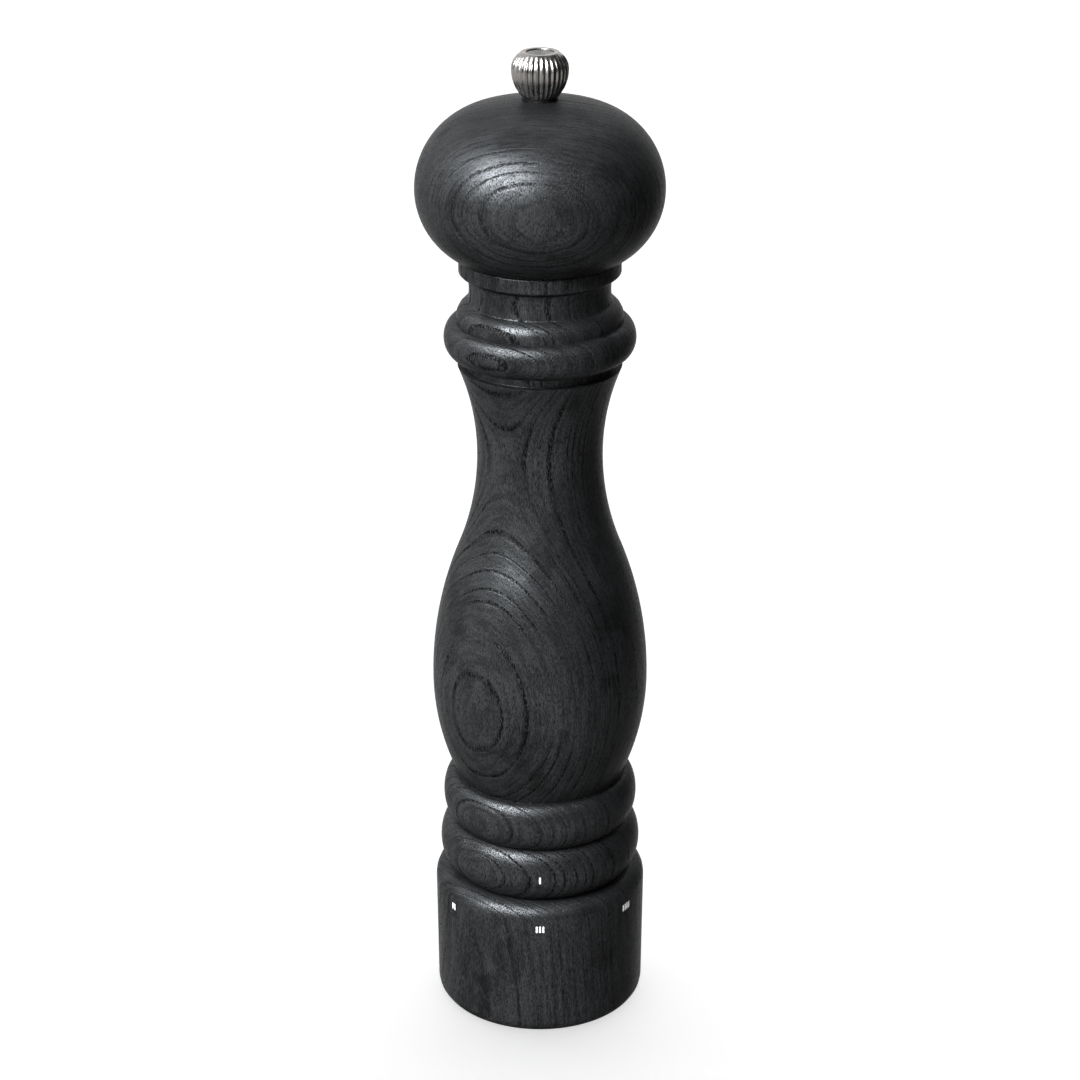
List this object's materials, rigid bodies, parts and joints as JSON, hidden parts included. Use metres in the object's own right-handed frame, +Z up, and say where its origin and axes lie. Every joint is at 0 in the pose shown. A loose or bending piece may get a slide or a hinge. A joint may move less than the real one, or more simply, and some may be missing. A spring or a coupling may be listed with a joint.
{
  "type": "pepper mill",
  "caption": "Tall turned wooden pepper mill: ball head under a fluted metal knob, waisted body with beads, and a turning selector ring at the base.",
  "frame": {"origin": "centre of the circle that the selector ring stands on, at table height", "axes": "+Z up along the mill's turning axis; -Y is the front, the side of the index mark; +X to its right"},
  "size_m": [0.0712, 0.0712, 0.3],
  "materials": {
    "stained_wood": "satin, graphite-stained open-pored wood",
    "black_polymer": "moulded, satin",
    "zinc_steel": "zinc-plated",
    "dark_steel": "case-hardened steel, oiled",
    "stainless": "stainless steel, drawn finish",
    "spring_steel": "spring steel",
    "brass_washer": "turned brass",
    "nickel": "polished nickel plate",
    "nickel_disc": "spun steel"
  },
  "bodies": {
    "mill_body": {"turned_body": "stained_wood", "mechanism_housing": "black_polymer", "housing_screws": "zinc_steel", "grinding_ring": "dark_steel", "shaft_bracket": "stainless", "bracket_screws": "zinc_steel", "ring_retainer": "spring_steel"},
    "drive": {"drive_shaft": "stainless", "shaft_circlip": "spring_steel", "shaft_washer": "stainless", "grinder_spring": "spring_steel"},
    "head": {"head": "stained_wood", "head_drive_plate": "stainless", "drive_plate_screws": "zinc_steel"},
    "knob_washer": {"knob_washer": "stainless"},
    "knob": {"top_knob": "nickel", "knob_disc": "nickel_disc"},
    "adjusting_ring": {"adjusting_ring": "stained_wood", "adjusting_nut": "black_polymer", "detent_spring": "spring_steel"},
    "detent": {"detent_ball": "stainless"},
    "bridge": {"rotor_bridge": "black_polymer", "thrust_washer": "brass_washer"},
    "rotor": {"grinding_cone": "dark_steel"}
  },
  "joints": [
    {"name": "grinder_turn", "type": "hinge", "parent": "mill_body", "child": "drive", "pos_m": [0, 0, 0.1], "axis": [0, 0, 1], "continuous": true},
    {"name": "head_lift", "type": "slide", "parent": "drive", "child": "head", "axis": [0, 0, 1], "range_m": [0, 0.075]},
    {"name": "knob_rise", "type": "slide", "parent": "head", "child": "knob_washer", "axis": [0, 0, 1], "range_m": [0, 0.008]},
    {"name": "knob_spin", "type": "hinge", "parent": "knob_washer", "child": "knob", "pos_m": [0, 0, 0.294], "axis": [0, 0, 1], "range_deg": [0, 2881]},
    {"name": "ring_turn", "type": "hinge", "parent": "mill_body", "child": "adjusting_ring", "pos_m": [0, 0, 0.0225], "axis": [0, 0, 1], "range_deg": [-165, 110]},
    {"name": "detent_click", "type": "slide", "parent": "adjusting_ring", "child": "detent", "axis": [-1, 0, 0], "range_m": [0, 0.0005], "stiffness_N_per_m": 150, "springref_m": 0.001},
    {"name": "bridge_rise", "type": "slide", "parent": "mill_body", "child": "bridge", "axis": [0, 0, 1], "range_m": [-0.00076, 0.00051]},
    {"name": "cone_rise", "type": "slide", "parent": "drive", "child": "rotor", "axis": [0, 0, 1], "range_m": [-0.00076, 0.00051], "deforming": ["grinder_spring"]}
  ],
  "couplings": [
    {"joint": "knob_spin", "follows": "knob_rise", "rad_per_m": 6283.2},
    {"joint": "bridge_rise", "follows": "ring_turn", "m_per_rad": 0.00026043},
    {"joint": "cone_rise", "follows": "ring_turn", "m_per_rad": 0.00026043}
  ]
}
